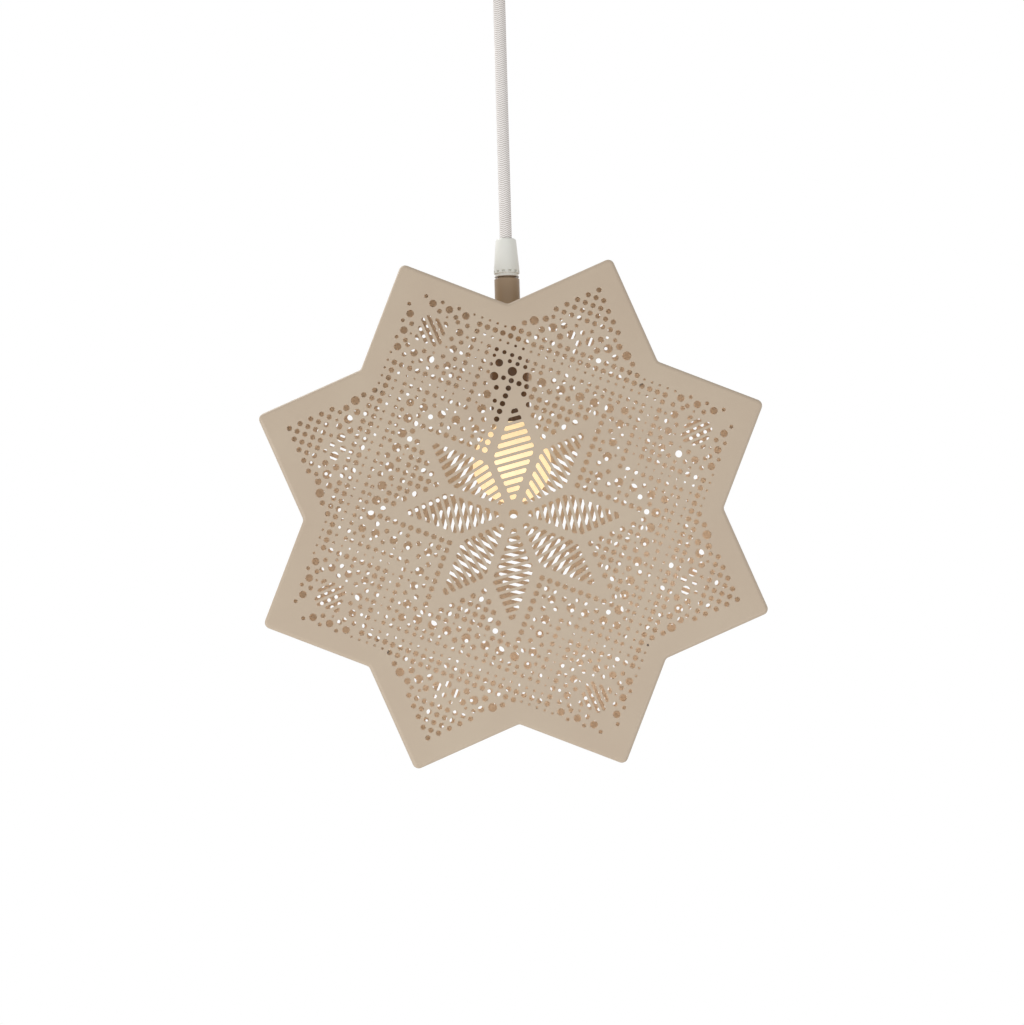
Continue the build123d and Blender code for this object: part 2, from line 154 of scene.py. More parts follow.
def grained(name, dark, light, roughness, drift, grain, depth, stretch=(1, 1, 1), metallic=0.0, coat=0.0):
    """A finish whose tone drifts over a wide soft noise and whose surface has a fine grain."""
    material, tree, shader = new_material(name, light, roughness, metallic, coat)
    place = add(tree, "ShaderNodeTexCoord")
    fitted = add(tree, "ShaderNodeMapping", inputs={"Vector": place.outputs["Object"], "Scale": stretch})
    cloud = add(tree, "ShaderNodeTexNoise", inputs={"Vector": fitted.outputs["Vector"], "Scale": 1 / drift,
                                                    "Detail": 3.0})
    tone = add(tree, "ShaderNodeMix", {"data_type": "RGBA"},
               {0: cloud.outputs["Fac"], 6: linear(dark), 7: linear(light)})
    tree.links.new(tone.outputs[2], shader.inputs["Base Color"])
    bits = add(tree, "ShaderNodeTexNoise", inputs={"Vector": fitted.outputs["Vector"], "Scale": 1 / grain,
                                                   "Detail": 3.0})
    bump = add(tree, "ShaderNodeBump", inputs={"Height": bits.outputs["Fac"], "Distance": depth})
    tree.links.new(bump.outputs["Normal"], shader.inputs["Normal"])
    return material


# %% [markdown]
# ## Powder coat on pressed steel
# Taupe polyester powder coat: satin, with a fine orange peel left by the melting powder. Its
# real grain, about half a millimetre, is finer than a pixel here, so it is drawn at 1.6 mm. A
# broad, faint cloud stands for the sheet's slight waviness, which shifts its tone a little.

# %% Powder coat
coat = grained("taupe_powder_coat", "#B5A28E", "#C2B39E", 0.46, 60 * mm, 1.6 * mm, 0.03 * mm)

# %% [markdown]
# The drop tube is turned from solid steel. It has the star's taupe hue, painted darker as shade
# since it stands less lit, and it is shinier, so that it shows one soft streak of light.

# %% Drop tube taupe, darkened as painted shade
# Painted shade: the star's taupe made darker for the tube, with a light coat for its streak of light.
shaded_tube_taupe = grained("taupe_darkened_for_shade", "#9C8468", "#A58D71", 0.38, 30 * mm, 2.0 * mm, 0.01 * mm,
                      coat=0.1)

# %% [markdown]
# ## Moulded plastics
# The grips and collars are injection moulded nylon: white, nearly matt, with faint flow marks
# that run lengthways. The lampholder is glossy dark brown phenolic resin. The terminal block is
# natural nylon and the lampholder's insert is glazed steatite, both slightly warm whites.

# %% Plastics
flow = (1, 1, 0.3)
white_nylon = grained("white_moulded_nylon", "#DFDFD8", "#EBEBE4", 0.38, 9 * mm, 0.8 * mm, 0.02 * mm, flow)
brown_phenolic = grained("brown_phenolic_resin", "#54402F", "#6B5340", 0.16, 9 * mm, 2.5 * mm, 0.01 * mm,
                         flow, coat=0.4)
natural_nylon = grained("natural_nylon", "#D8D4C4", "#E6E2D4", 0.42, 9 * mm, 0.9 * mm, 0.02 * mm, flow)
steatite = grained("glazed_steatite", "#DDD8CC", "#ECE8DE", 0.22, 9 * mm, 1.2 * mm, 0.02 * mm)
brown_pvc = grained("brown_wire_insulation", "#5A3420", "#6B4028", 0.45, 9 * mm, 0.7 * mm, 0.02 * mm, flow)
blue_pvc = grained("blue_wire_insulation", "#2B4F9C", "#3A62B4", 0.45, 9 * mm, 0.7 * mm, 0.02 * mm, flow)
black_vitrite = grained("black_vitrite", "#0E0E10", "#1A1A1C", 0.12, 9 * mm, 2.0 * mm, 0.01 * mm)

# %% [markdown]
# ## Plated and plain metals
# Zinc-plated steel screws, nut, nipples and bracket: pale blue-grey with soft spangle. Brass
# for the screw shell, contact and terminals, a little dulled. The bulb's cap is nickel plate.
# Rubbing marks run round each piece, so their noise is squeezed along the lamp's axis.

# %% Metals
rub = (1, 1, 6)
zinc = grained("zinc_plated_steel", "#A9ABAD", "#C4C6C8", 0.34, 2.2 * mm, 0.7 * mm, 0.01 * mm, rub, 1.0)
brass = grained("plain_brass", "#B08B3E", "#CBA65A", 0.30, 3.0 * mm, 0.7 * mm, 0.01 * mm, rub, 1.0)
nickel = grained("nickel_plate", "#B5B2AA", "#CFCCC4", 0.22, 2.5 * mm, 0.7 * mm, 0.01 * mm, rub, 1.0)

# %% [markdown]
# ## The braided textile of the flex
# A braid crosses two sets of yarn bundles, two over and two under, which reads as columns of
# chevrons. The height gives the strokes, and a zigzag in the angle round the flex slants them
# one way in a column and the other way in the next. A stroke is 0.8 mm wide on the real braid.
# At this distance that is a pixel and a half, so the strokes are drawn at 1.2 mm.

# %% Braid
def braided(name, dark, light, columns, stroke):
    """Yarn in columns of chevrons: the columns go round the flex, and a stroke has that height."""
    material, tree, shader = new_material(name, light, 0.85)
    place = add(tree, "ShaderNodeTexCoord")
    axes = add(tree, "ShaderNodeSeparateXYZ", inputs={"Vector": place.outputs["Object"]})
    angle = add(tree, "ShaderNodeMath", {"operation": "ARCTAN2"},
                {0: axes.outputs["Y"], 1: axes.outputs["X"]})
    around = add(tree, "ShaderNodeMath", {"operation": "MULTIPLY"},
                 {0: angle.outputs["Value"], 1: columns / pi})
    zigzag = add(tree, "ShaderNodeMath", {"operation": "PINGPONG"}, {0: around.outputs["Value"], 1: 1.0})
    slant = add(tree, "ShaderNodeMath", {"operation": "MULTIPLY"}, {0: zigzag.outputs["Value"], 1: 1.6 * pi})
    along = add(tree, "ShaderNodeMath", {"operation": "MULTIPLY"}, {0: axes.outputs["Z"], 1: 2 * pi / stroke})
    phase = add(tree, "ShaderNodeMath", inputs={0: along.outputs["Value"], 1: slant.outputs["Value"]})
    wave = add(tree, "ShaderNodeMath", {"operation": "SINE"}, {0: phase.outputs["Value"]})
    yarn = add(tree, "ShaderNodeMapRange", inputs={"Value": wave.outputs["Value"], "From Min": -0.95,
                                                   "From Max": 0.1})
    tone = add(tree, "ShaderNodeMix", {"data_type": "RGBA"},
               {0: yarn.outputs["Result"], 6: linear(dark), 7: linear(light)})
    tree.links.new(tone.outputs[2], shader.inputs["Base Color"])
    bump = add(tree, "ShaderNodeBump", inputs={"Height": yarn.outputs["Result"], "Distance": 0.12 * mm})
    tree.links.new(bump.outputs["Normal"], shader.inputs["Normal"])
    shader.inputs["Sheen Weight"].default_value = 0.3
    return material


cotton_braid = braided("off_white_cotton_braid", "#B9AFA9", "#F3F0ED", 5, 1.2 * mm)

# %% [markdown]
# ## The opal bulb
# A small bulb with a frosted globe glows by itself: near the middle it looks almost cream
# white, and towards its edge the colour warms. The facing value of Layer Weight gives that
# fall-off. What it throws on the inside of the case is left to a small lamp, further down.

# %% Opal glow
opal, tree, shader = new_material("opal_glass_glow", "#F3E3C2", 0.25)
facing = add(tree, "ShaderNodeLayerWeight", inputs={"Blend": 0.35})
glow = add(tree, "ShaderNodeMix", {"data_type": "RGBA"},
           {0: facing.outputs["Facing"], 6: linear("#FFEDBE"), 7: linear("#F8CF8E")})
tree.links.new(glow.outputs[2], shader.inputs["Emission Color"])
shader.inputs["Emission Strength"].default_value = 0.70

# %% [markdown]
# ## Giving the engineering pieces their finish
# Most inner pieces already have their true form, so they only need a material.

# %% Materials for the pieces that stay
finishes = {
    coat: ["ceiling_cup", "rim_band"],
    white_nylon: ["cup_collar", "lamp_collar"],
    zinc: ["ceiling_bracket", "cup_nut", "cup_nipple", "lamp_nipple"],
    natural_nylon: ["terminal_block"],
    brass: ["terminal_screws", "holder_screw_shell", "holder_contact"],
    cotton_braid: ["flex_in_cup"],
    brown_pvc: ["cup_live_core", "lamp_live_core"],
    blue_pvc: ["cup_neutral_core", "lamp_neutral_core"],
    brown_phenolic: ["holder_cap", "holder_skirt"],
    steatite: ["holder_insert"],
    black_vitrite: ["bulb_insulator"],
    nickel: ["bulb_tip"],
}
for material, names in finishes.items():
    for name in names:
        nodes[name].data.materials.clear()
        nodes[name].data.materials.append(material)
print(sum(len(names) for names in finishes.values()), "pieces keep their form")

# %% [markdown]
# ## Turning a mesh into a piece
# Each new piece rides on the body that carries the piece it stands for, which it hides.

# %% Piece helpers
def new_piece(name, mesh, body, material, *stands_for):
    piece = bpy.data.objects.new(name, mesh)
    bpy.context.scene.collection.objects.link(piece)
    mesh.materials.clear()
    mesh.materials.append(material)
    mesh.shade_smooth()
    mesh.set_sharp_from_angle(angle=radians(32))
    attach(piece, body)
    if stands_for:
        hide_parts(*stands_for)
    print(name, len(mesh.polygons), "faces")
    return piece


def turned_mesh(name, profile, sides, push=None):
    """A closed body of revolution. push(angle, height) moves a point in or out."""
    mesh = bpy.data.meshes.new(name)
    shape = bmesh.new()
    rings = []
    for radius, height in profile:
        turns = [2 * pi * step / sides for step in range(sides)] if radius > 0 else [0]
        rings.append([])
        for turn in turns:
            reach = radius + (push(turn, height, radius) if push and radius > 0 else 0)
            rings[-1].append(shape.verts.new((reach * cos(turn), reach * sin(turn), height)))
    pairs = list(zip(rings, rings[1:]))
    if profile[0][0] > 0:
        pairs.append((rings[-1], rings[0]))
    for low, high in pairs:
        for step in range(sides):
            after = (step + 1) % sides
            corners = [low[step % len(low)], low[after % len(low)],
                       high[after % len(high)], high[step % len(high)]]
            shape.faces.new(list(dict.fromkeys(corners)))
    bmesh.ops.recalc_face_normals(shape, faces=shape.faces)
    shape.to_mesh(mesh)
    shape.free()
    return mesh


# %% [markdown]
# ## The plan of the punched pattern
# The real sheet is punched on a square grid of 4.57 mm. The design has the symmetry of a
# square, so a quarter of it is enough, and half of that quarter is the mirror of the other.
# The quarter is laid out about a tip that holds a triangle of dots and points up. The tip on
# the diagonal beside it holds a small square of slots with a ring of dots about it.
# Dots are kept as single points that know their size, and slots as closed loops of edges.

# %% Sizes of the plan
pitch = 4.57 * mm
star_half = 21 * pitch + 11.5 * mm
tip_radius = 3.5 * mm
notch_radius = 3.0 * mm
sheet = 0.8 * mm
fold_radius = 2.0 * mm
eye = 4.9 * mm
slot_corner = 0.8 * mm
sheet_turn = radians(-22.5)
front_growth = 0.2 * mm    # the front sheet's openings look a little wider than the plan
back_growth = -0.5 * mm    # those of the back sheet, seen through them, look narrower

# %% [markdown]
# The outline is that of two squares, one turned by an eighth of a turn against the other.
# Corners are rounded with arcs whose middles stay where they are when the outline is moved
# inwards, so outlines of different insets stay evenly apart.

# %% Outline of the star
def arc(middle, radius, facing, turn, chords):
    hub = Vector((middle * cos(facing), middle * sin(facing)))
    angles = [facing + turn * (step / chords - 0.5) for step in range(chords + 1)]
    return [hub + Vector((radius * cos(angle), radius * sin(angle))) for angle in angles]


def star_outline(inset, chords=6):
    tip_middle = (star_half - tip_radius) * sqrt(2)
    notch_middle = (star_half + notch_radius) / cos(radians(22.5))
    points = []
    for turn in range(8):
        notch = radians(45 * turn + 22.5)
        points += arc(notch_middle, -notch_radius - inset, notch, -radians(45), chords // 2)
        points += arc(tip_middle, tip_radius - inset, notch + radians(22.5), radians(90), chords)
    return points


print("outline of", len(star_outline(0)), "points")

# %% [markdown]
# Every slot is a strip cut off by the frame that it lies in. Clipping a frame by the two
# edges of a strip gives the slot's corners exactly, and needs no boolean.

# %% Slots
def cut(polygon, normal, limit):
    """The part of a polygon on the near side of a line."""
    kept = []
    for a, b in zip(polygon, polygon[1:] + polygon[:1]):
        over_a, over_b = normal.dot(a) - limit, normal.dot(b) - limit
        if over_a <= 0:
            kept.append(a)
        if over_a * over_b < 0:
            kept.append(a.lerp(b, over_a / (over_a - over_b)))
    return kept


def slots_in(area, slant, spacing, width, first, count):
    normal = Vector((-sin(slant), cos(slant)))
    found = []
    for row in range(count):
        middle = first + spacing * row
        strip = cut(area, normal, middle + width / 2)
        strip = cut(strip, -normal, width / 2 - middle) if strip else []
        if len(strip) > 2:
            found.append(strip)
    return found


petal_slant, petal_spacing, petal_slot, petal_first = radians(-36.5), 4.15 * mm, 2.3 * mm, 9.1 * mm
tip_slant, tip_spacing, tip_slot = radians(45), 3.54 * mm, 1.8 * mm
petal_bar, petal_reach, petal_length = 4.0 * mm, 21.4 * mm, 25.8 * mm
low, high = petal_bar / sqrt(2), petal_length * sqrt(2)
petal = [Vector((petal_bar / 2, petal_bar / 2 + low)), Vector((petal_reach, petal_reach + low)),
         Vector((petal_reach, petal_reach + high)), Vector((petal_bar / 2, petal_bar / 2 + high))]
tip_middle, tip_square = 78.4 * mm, 15.2 * mm
corners = [(-1, -1), (1, -1), (1, 1), (-1, 1)]
square = [Vector((tip_middle + x * tip_square / 2, tip_middle + y * tip_square / 2)) for x, y in corners]


def quarter_slots(growth):
    """Slots of a quarter: a petal and its mirror, and the square in the tip."""
    found = slots_in(petal, petal_slant, petal_spacing, petal_slot + growth, petal_first, 12)
    found += [[Vector((-p.x, p.y)) for p in reversed(slot)] for slot in found]
    return found + slots_in(square, tip_slant, tip_spacing, tip_slot + growth, -2.5 * tip_spacing, 6)


print(len(quarter_slots(front_growth)), "slots in a quarter")

# %% [markdown]
# Rows of dots follow the grid. `row` gives the dots of one row by their columns, on both
# sides of the middle. Dots that sit on the diagonal belong to two quarters and are kept once.

# %% Rows of dots in a quarter
dots = []


def spot(x, y, size):
    """A dot and its mirror, in millimetres."""
    dots.append((x * mm, y * mm, size * mm))
    if 0 < x < y:
        dots.append((-x * mm, y * mm, size * mm))


def row(y, columns, size):
    for column in columns:
        spot(column * pitch / mm, y, size)


def column(x, rows, size):
    for step in rows:
        spot(x * pitch / mm, step * pitch / mm, size)


grid = pitch / mm
for step in range(25, 30):
    row(step * grid, range(30 - step), 2.7)
row(24 * grid, [1], 2.0)
row(24 * grid, [3], 1.5)
row(24 * grid, [4], 2.2)
row(21 * grid, range(9), 2.8)
row(95.3, range(9, 14), 1.2)
row(20 * grid, range(13), 2.9)
row(87.2, range(12), 1.4)
row(87.2, [12], 2.7)
row(81.8, range(11), 2.2)
row(78.2, [0, 3, 4, 5, 6, 7, 10], 2.2)
row(78.2, [9], 1.8)
row(68.4, [0], 2.4)
row(68.4, [2], 1.0)
row(68.4, range(3, 7), 2.8)
row(68.4, [7], 2.5)
for step in range(10, 15):
    row(step * grid, range(step - 9), 2.9)
print(len(dots), "dots in rows")

# %% Columns of dots in a quarter
column(6, range(6, 15), 2.9)
column(7, [7], 3.0)
column(7, [8, 11, 12], 2.2)
column(9, [15, 16], 1.9)
column(9, [11, 12], 1.2)
column(10, range(10, 17), 2.5)
column(11, range(12, 19), 1.0)
column(12, range(12, 19), 2.8)
column(13, [13], 2.9)

# %% [markdown]
# Chains of larger dots run across the tip and in front of the rosette, each with smaller
# dots above and below the gaps between them.

# %% Chains of large dots
for x in (5.45, 16.35, 27.4):
    spot(x, 104.0, 4.8)
spot(0, 107.2, 2.6)
spot(0, 100.8, 3.4)
for x in (10.9, 21.8):
    spot(x, 107.2, 3.4)
    spot(x, 100.8, 3.4)
spot(32.0, 100.8, 2.8)
for x in (0, 11.3, 19.9, 28.7):
    spot(x, 73.4, 5.0)
for y in (70.2, 76.7):
    spot(5.5, y, 3.0)
for y, size in ((75.3, 4.2), (67.4, 4.6), (56.7, 4.4), (48.2, 4.8)):
    spot(37.2, y, size)
spot(36.55, 36.55, 4.3)
spot(40.6, 40.6, 2.5)
for x, y, size in ((33.8, 62.0, 2.6), (40.4, 62.0, 2.3), (34.0, 43.0, 2.7)):
    spot(x, y, size)

# %% [markdown]
# Round the slotted square, the dots stand on a coarser lattice, and each has its mirror in
# the diagonal. `pair` keeps both.

# %% Dots round the slotted square
def pair(x, y, size):
    dots.append((x * mm, y * mm, size * mm))
    if x != y:
        dots.append((y * mm, x * mm, size * mm))


lattice = [63.6, 73.35, 83.1, 92.85]
between = [68.5, 78.2, 88.0]
for y in lattice:
    pair(lattice[0], y, 4.0)
for x in lattice[1:3]:
    pair(x, lattice[3], 4.0)
for step in between:
    pair(step, 95.3, 2.0)
    pair(60.8, step, 2.4)
for step in between[:2]:
    pair(step, 90.1, 2.5)
for step in between[1:]:
    pair(66.5, step, 2.4)
pair(67.4, 67.4, 2.4)
for x, y, size in ((59.0, 63.8, 2.3), (58.7, 73.0, 2.0), (58.6, 82.0, 1.5),
                   (67.5, 73.0, 1.2), (73.0, 88.5, 1.2)):
    pair(x, y, size)
apart = min((Vector(a[:2]) - Vector(b[:2])).length - (a[2] + b[2]) / 2
            for i, a in enumerate(dots) for b in dots[:i])
print(len(dots), "dots in a quarter, the nearest two", round(apart / mm, 2), "mm apart")

# %% [markdown]
# ## Punching the sheet with Geometry Nodes
# The plan goes into one mesh: loops of edges for the slots and the outline, loose points for
# the dots. The tree turns the loops into curves, puts a circle of the right size on each
# point, repeats the quarter four times, fills what is left between all these curves, and
# gives the filled plan its thickness. A tree does this well because a thousand holes follow
# one rule, and every size stays a named input.

# %% Plan as a mesh
def plan_mesh(name, growth):
    mesh = bpy.data.meshes.new(name)
    points, edges, sizes, once, corner_radii = [], [], [], [], []

    def loop(corners, single, corner_radius):
        start, count = len(points), len(corners)
        points.extend((p.x, p.y, 0) for p in corners)
        edges.extend((start + step, start + (step + 1) % count) for step in range(count))
        sizes.extend([0.0] * count)
        once.extend([single] * count)
        corner_radii.extend([corner_radius] * count)

    for slot in quarter_slots(growth):
        loop(slot, False, slot_corner)
    loop(star_outline(fold_radius), True, 0.0)
    for x, y, size in dots + [(0, 0, eye)]:
        points.append((x, y, 0))
        sizes.append(size + growth)
        once.append(size == eye)
        corner_radii.append(0.0)
    mesh.from_pydata(points, edges, [])
    mesh.attributes.new("hole_size", "FLOAT", "POINT").data.foreach_set("value", sizes)
    mesh.attributes.new("corner_radius", "FLOAT", "POINT").data.foreach_set("value", corner_radii)
    mesh.attributes.new("drawn_once", "BOOLEAN", "POINT").data.foreach_set("value", once)
    return mesh


# %% Tree that punches a sheet
def socket(tree, name, kind, value=None):
    item = tree.interface.new_socket(name, in_out="INPUT", socket_type=kind)
    if value is not None:
        item.default_value = value


def punching_tree():
    tree = bpy.data.node_groups.new("punched_sheet", "GeometryNodeTree")
    tree.interface.new_socket("Geometry", in_out="OUTPUT", socket_type="NodeSocketGeometry")
    socket(tree, "Geometry", "NodeSocketGeometry")
    socket(tree, "Thickness", "NodeSocketFloat", sheet)
    socket(tree, "Sides of a Dot", "NodeSocketInt", 16)
    socket(tree, "Chords of a Corner", "NodeSocketInt", 3)
    socket(tree, "Copies", "NodeSocketInt", 4)
    socket(tree, "Turn in Plane", "NodeSocketVector")
    socket(tree, "Turn", "NodeSocketVector")
    socket(tree, "Place", "NodeSocketVector")
    socket(tree, "Material", "NodeSocketMaterial")
    given = add(tree, "NodeGroupInput").outputs
    size = add(tree, "GeometryNodeInputNamedAttribute", {"data_type": "FLOAT"}, {"Name": "hole_size"})
    single = add(tree, "GeometryNodeInputNamedAttribute", {"data_type": "BOOLEAN"}, {"Name": "drawn_once"})
    is_dot = add(tree, "FunctionNodeCompare", {"operation": "GREATER_THAN"},
                 {0: size.outputs["Attribute"], 1: 0.0})
    loops = add(tree, "GeometryNodeMeshToCurve", inputs={"Mesh": given["Geometry"]})
    corner = add(tree, "GeometryNodeInputNamedAttribute", {"data_type": "FLOAT"}, {"Name": "corner_radius"})
    eased = add(tree, "GeometryNodeFilletCurve", {"mode": "POLY"}, {
        "Curve": loops.outputs["Curve"], "Count": given["Chords of a Corner"],
        "Radius": corner.outputs["Attribute"], "Limit Radius": True})
    centres = add(tree, "GeometryNodeMeshToPoints", inputs={"Mesh": given["Geometry"],
                                                           "Selection": is_dot.outputs["Result"]})
    circle = add(tree, "GeometryNodeCurvePrimitiveCircle", inputs={"Resolution": given["Sides of a Dot"],
                                                                   "Radius": 0.5})
    punched = add(tree, "GeometryNodeInstanceOnPoints", inputs={
        "Points": centres.outputs["Points"], "Instance": circle.outputs["Curve"],
        "Scale": size.outputs["Attribute"]})
    rounds = add(tree, "GeometryNodeRealizeInstances", inputs={"Geometry": punched.outputs["Instances"]})
    plan = add(tree, "GeometryNodeJoinGeometry")
    tree.links.new(eased.outputs["Curve"], plan.inputs["Geometry"])
    tree.links.new(rounds.outputs["Geometry"], plan.inputs["Geometry"])
    parted = add(tree, "GeometryNodeSeparateGeometry", inputs={"Geometry": plan.outputs["Geometry"],
                                                              "Selection": single.outputs["Attribute"]})
    hub = add(tree, "GeometryNodePoints", inputs={"Count": given["Copies"]})
    index = add(tree, "GeometryNodeInputIndex")
    share = add(tree, "ShaderNodeMath", {"operation": "DIVIDE"}, {0: 2 * pi, 1: given["Copies"]})
    angle = add(tree, "ShaderNodeMath", {"operation": "MULTIPLY"}, {0: index.outputs["Index"],
                                                                    1: share.outputs["Value"]})
    spin = add(tree, "ShaderNodeCombineXYZ", inputs={"Z": angle.outputs["Value"]})
    quarters = add(tree, "GeometryNodeInstanceOnPoints", inputs={
        "Points": hub.outputs["Points"], "Instance": parted.outputs["Inverted"],
        "Rotation": spin.outputs["Vector"]})
    round_all = add(tree, "GeometryNodeRealizeInstances", inputs={"Geometry": quarters.outputs["Instances"]})
    whole = add(tree, "GeometryNodeJoinGeometry")
    tree.links.new(round_all.outputs["Geometry"], whole.inputs["Geometry"])
    tree.links.new(parted.outputs["Selection"], whole.inputs["Geometry"])
    filled = add(tree, "GeometryNodeFillCurve", inputs={"Curve": whole.outputs["Geometry"]})
    down = add(tree, "ShaderNodeMath", {"operation": "MULTIPLY"}, {0: given["Thickness"], 1: -1.0})
    below = add(tree, "ShaderNodeCombineXYZ", inputs={"Z": down.outputs["Value"]})
    lowered = add(tree, "GeometryNodeTransform", inputs={"Geometry": filled.outputs["Mesh"],
                                                         "Translation": below.outputs["Vector"]})
    raised = add(tree, "GeometryNodeExtrudeMesh", inputs={
        "Mesh": lowered.outputs["Geometry"], "Offset Scale": given["Thickness"], "Individual": False})
    underside = add(tree, "GeometryNodeFlipFaces", inputs={"Mesh": lowered.outputs["Geometry"]})
    closed = add(tree, "GeometryNodeJoinGeometry")
    tree.links.new(raised.outputs["Mesh"], closed.inputs["Geometry"])
    tree.links.new(underside.outputs["Mesh"], closed.inputs["Geometry"])
    welded = add(tree, "GeometryNodeMergeByDistance", inputs={"Geometry": closed.outputs["Geometry"],
                                                              "Distance": 1e-6})
    in_plane = add(tree, "GeometryNodeTransform", inputs={"Geometry": welded.outputs["Geometry"],
                                                          "Rotation": given["Turn in Plane"]})
    stood = add(tree, "GeometryNodeTransform", inputs={
        "Geometry": in_plane.outputs["Geometry"], "Rotation": given["Turn"], "Translation": given["Place"]})
    real = add(tree, "GeometryNodeRealizeInstances", inputs={"Geometry": stood.outputs["Geometry"]})
    dressed = add(tree, "GeometryNodeSetMaterial", inputs={"Geometry": real.outputs["Geometry"],
                                                           "Material": given["Material"]})
    add(tree, "NodeGroupOutput", inputs={"Geometry": dressed.outputs["Geometry"]})
    return tree


# %% Running a tree and keeping plain geometry
def grown(name, seed_mesh, tree, values):
    """The mesh that a geometry tree makes from a seed mesh."""
    seed = bpy.data.objects.new(name + "_seed", seed_mesh)
    bpy.context.scene.collection.objects.link(seed)
    modifier = seed.modifiers.new("tree", "NODES")
    modifier.node_group = tree
    for item in tree.interface.items_tree:
        if item.item_type == "SOCKET" and item.in_out == "INPUT" and item.name in values:
            modifier[item.identifier] = values[item.name]
    ready = seed.evaluated_get(bpy.context.evaluated_depsgraph_get())
    mesh = bpy.data.meshes.new_from_object(ready)
    mesh.name = name
    bpy.data.objects.remove(seed)
    return mesh


# %% [markdown]
# ## The folded edge
# The press folds the sheet's rim back by 9 mm over a small radius, which is what catches the
# thin bright line round the star. The fold is a ring of outlines, each moved inwards and
# back a little more, with quads between them.

# %% Folded edge
def folded_edge():
    bend = 5
    section = []
    for step in range(bend + 1):
        turn = radians(90 * step / bend)
        section.append((fold_radius * (1 - sin(turn)), fold_radius * (cos(turn) - 1)))
    inner = fold_radius - sheet
    section += [(0, -fold_depth), (sheet, -fold_depth)]
    for step in range(bend, -1, -1):
        turn = radians(90 * step / bend)
        section.append((fold_radius - inner * sin(turn), inner * cos(turn) - fold_radius))
    loops = [[Vector((p.x, p.y, depth)) for p in star_outline(inset)] for inset, depth in section]
    return loops


def sheet_mesh(name, tree, turn, place, growth):
    """A punched sheet with its folded edge, stood in its place."""
    values = {"Thickness": sheet, "Sides of a Dot": 16, "Chords of a Corner": 3, "Copies": 4,
              "Turn in Plane": (0, 0, sheet_turn), "Turn": turn, "Place": place, "Material": coat}
    flat = grown(name, plan_mesh(name + "_plan", growth), tree, values)
    shape = bmesh.new()
    shape.from_mesh(flat)
    stand = Matrix.Translation(place) @ Euler(turn).to_matrix().to_4x4() @ Matrix.Rotation(sheet_turn, 4, "Z")
    rings = [[shape.verts.new(stand @ p) for p in loop] for loop in folded_edge()]
    edge_faces = []
    for one, other in zip(rings, rings[1:] + rings[:1]):
        for step in range(len(one)):
            after = (step + 1) % len(one)
            edge_faces.append(shape.faces.new([one[step], one[after], other[after], other[step]]))
    bmesh.ops.recalc_face_normals(shape, faces=edge_faces)
    mesh = bpy.data.meshes.new(name)
    shape.to_mesh(mesh)
    shape.free()
    return mesh


tree = punching_tree()
front_place = Vector((0, front_y, star_z))
back_place = Vector((0, back_y, star_z))
front_mesh = sheet_mesh("punched_front", tree, (radians(90), 0, 0), front_place, front_growth)
back_mesh = sheet_mesh("punched_back", tree, (radians(90), 0, pi), back_place, back_growth)
new_piece("punched_front", front_mesh, "lamp", coat, "front_sheet")
new_piece("punched_back", back_mesh, "back_cover", coat, "back_cover")

# %% [markdown]
# ## The cord grips
# Each grip is a tapered nylon nose that screws over a nipple. Its foot has a row of short
# slots for the fingers, which read as dark dashes. The lathe profile has extra rings at the
# foot, and a rule pushes those inside a slot inwards.

# %% Cord grips
grip_low, grip_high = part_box("lamp_cord_grip")
grip_foot = (grip_high.x - grip_low.x) / 2
grip_length = grip_high.z - grip_low.z
grip_nose = 11.9 * mm / 2
grip_bore = flex_diameter / 2 + 0.3 * mm
grip_shoulder = 1.6 * mm
nipple_hole = 5.1 * mm    # radius, for the 10 mm nipple
nipple_depth = 9 * mm
finger_slots = 12
slot_share = 0.24         # of the pitch of the slots, to each side of the middle of one
slot_low, slot_high, slot_depth = 0.5 * mm, 1.6 * mm, 1.1 * mm


def finger_slot(turn, height, radius):
    share = (turn * finger_slots / (2 * pi)) % 1
    inside = abs(share - 0.5) < slot_share and slot_low < height < slot_high and radius > grip_nose
    return -slot_depth if inside else 0


def grip_profile():
    outside = [(grip_foot - 0.2 * mm, 0), (grip_foot, 0.2 * mm), (grip_foot, 0.45 * mm),
               (grip_foot, 0.55 * mm), (grip_foot, 1.55 * mm), (grip_foot, 1.65 * mm), (grip_foot, 2.1 * mm)]
    for step in range(6):
        turn = radians(15 + 75 * step / 5)
        outside.append((grip_nose - grip_shoulder + grip_shoulder * cos(turn),
                        grip_length - grip_shoulder + grip_shoulder * sin(turn)))
    inside = [(grip_bore + 0.3 * mm, grip_length), (grip_bore, grip_length - 0.3 * mm),
              (grip_bore, nipple_depth), (nipple_hole, nipple_depth), (nipple_hole, 0)]
    return outside + inside


def placed(mesh, matrix):
    mesh.transform(matrix)
    mesh.update()
    return mesh


lamp_grip = turned_mesh("lamp_grip", grip_profile(), 144, finger_slot)
new_piece("lamp_grip", placed(lamp_grip, Matrix.Translation((0, 0, grip_low.z))), "lamp", white_nylon,
          "lamp_cord_grip")
top_grip_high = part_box("ceiling_cord_grip")[1]
top_grip = turned_mesh("top_grip", grip_profile(), 144, finger_slot)
upside_down = Matrix.Translation((0, 0, top_grip_high.z)) @ Matrix.Rotation(pi, 4, "X")
new_piece("top_grip", placed(top_grip, upside_down), "ceiling", white_nylon, "ceiling_cord_grip")

# %% [markdown]
# ## The drop tube
# A plain turned tube. Right under the white collar it is turned down for a shadow line, which
# hides that the two never quite match.

